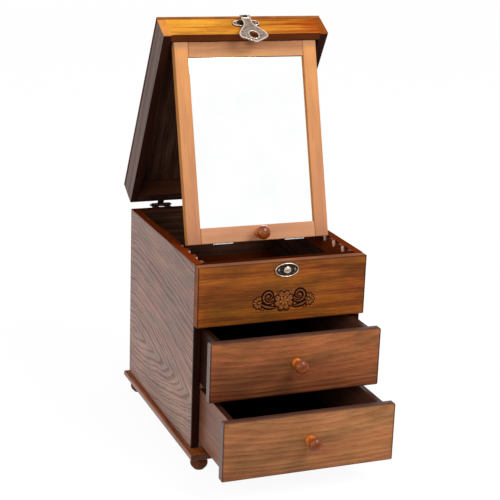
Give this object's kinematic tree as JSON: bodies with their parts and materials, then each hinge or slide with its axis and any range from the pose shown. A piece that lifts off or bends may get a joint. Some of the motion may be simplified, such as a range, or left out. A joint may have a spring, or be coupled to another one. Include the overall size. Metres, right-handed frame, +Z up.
{
  "type": "vanity box with mirror",
  "caption": "Wooden vanity box with a hinged lid, a mirror that folds out of it onto notched racks, a top compartment, drawers with turned knobs and a hasp latch.",
  "frame": {"origin": "middle of the footprint of the whole shape as it stands open, on the plane that the feet rest on", "axes": "+X to the right as seen from the front, +Y to the back, +Z up"},
  "size_m": [0.2746, 0.5194, 0.6354],
  "materials": {
    "ash_side": "stained ash, satin lacquer",
    "ash_top": "stained ash, satin lacquer",
    "ash_front": "brown stained ash, gloss lacquer",
    "ash_drawer": "brown stained ash, gloss lacquer",
    "ash_honey": "honey stained ash, gloss lacquer",
    "frame_wood": "light stained ash, gloss lacquer",
    "base_wood": "dark stained ash, satin lacquer",
    "inner_wood": "reddish stained wood, satin",
    "dark_board": "dark stained board, matt",
    "turned_wood": "turned wood, gloss lacquer",
    "dark_bronze": "dark antique bronze",
    "antique_silver": "antique silver plating, worn",
    "steel": "plain",
    "silvered_glass": "silvered glass"
  },
  "bodies": {
    "carcass": {"plinth": "base_wood", "feet": "base_wood", "side_left": "ash_side", "side_right": "ash_side", "back_board": "ash_top", "bottom_board": "dark_board", "drawer_divider": "dark_board", "compartment_floor": "dark_board", "compartment_lining": "inner_wood", "front_board": "ash_front", "rack_left": "inner_wood", "rack_right": "inner_wood", "catch_plate": "antique_silver", "catch_knob": "antique_silver", "back_hinge_box_leaves": "dark_bronze", "back_hinge_pins": "dark_bronze"},
    "lid": {"lid_top": "ash_top", "lid_front": "ash_honey", "lid_back": "ash_top", "lid_left": "ash_side", "lid_right": "ash_side", "back_hinge_lid_leaves": "dark_bronze", "hasp_plate": "antique_silver", "hasp_pin": "antique_silver", "mirror_hinge_lid_leaves": "steel", "mirror_hinge_pins": "steel"},
    "hasp": {"hasp": "antique_silver"},
    "mirror": {"mirror_stile_left": "frame_wood", "mirror_stile_right": "frame_wood", "mirror_rail_top": "frame_wood", "mirror_rail_foot": "frame_wood", "mirror_glass": "silvered_glass", "mirror_backing": "dark_board", "mirror_knob": "turned_wood", "mirror_knob_screw": "steel", "mirror_keepers": "steel", "mirror_hinge_frame_leaves": "steel"},
    "upper_drawer": {"upper_drawer_front": "ash_front", "upper_drawer_side_left": "inner_wood", "upper_drawer_side_right": "inner_wood", "upper_drawer_back": "inner_wood", "upper_drawer_bottom": "dark_board", "upper_drawer_knob": "turned_wood", "upper_drawer_knob_screw": "steel"},
    "lower_drawer": {"lower_drawer_front": "ash_drawer", "lower_drawer_side_left": "inner_wood", "lower_drawer_side_right": "inner_wood", "lower_drawer_back": "inner_wood", "lower_drawer_bottom": "dark_board", "lower_drawer_knob": "turned_wood", "lower_drawer_knob_screw": "steel"}
  },
  "joints": [
    {"name": "lid_hinge", "type": "hinge", "parent": "carcass", "child": "lid", "pos_m": [0, 0.22703, 0.3127], "axis": [-1, 0, 0], "range_deg": [-60.8, 34.2]},
    {"name": "mirror_fold", "type": "hinge", "parent": "lid", "child": "mirror", "pos_m": [0, 0.0679, 0.60031], "axis": [-1, 0, 0], "range_deg": [-45.6, 25.66]},
    {"name": "hasp_hinge", "type": "hinge", "parent": "lid", "child": "hasp", "pos_m": [0.004, 0.0855, 0.63318], "axis": [-1, 0, 0], "range_deg": [0, 180]},
    {"name": "upper_drawer_slide", "type": "slide", "parent": "carcass", "child": "upper_drawer", "axis": [0, -1, 0], "range_m": [-0.0595, 0.1705]},
    {"name": "lower_drawer_slide", "type": "slide", "parent": "carcass", "child": "lower_drawer", "axis": [0, -1, 0], "range_m": [-0.1187, 0.1113]}
  ],
  "couplings": [
    {"joint": "mirror_fold", "follows": "lid_hinge", "ratio": 0.75}
  ]
}
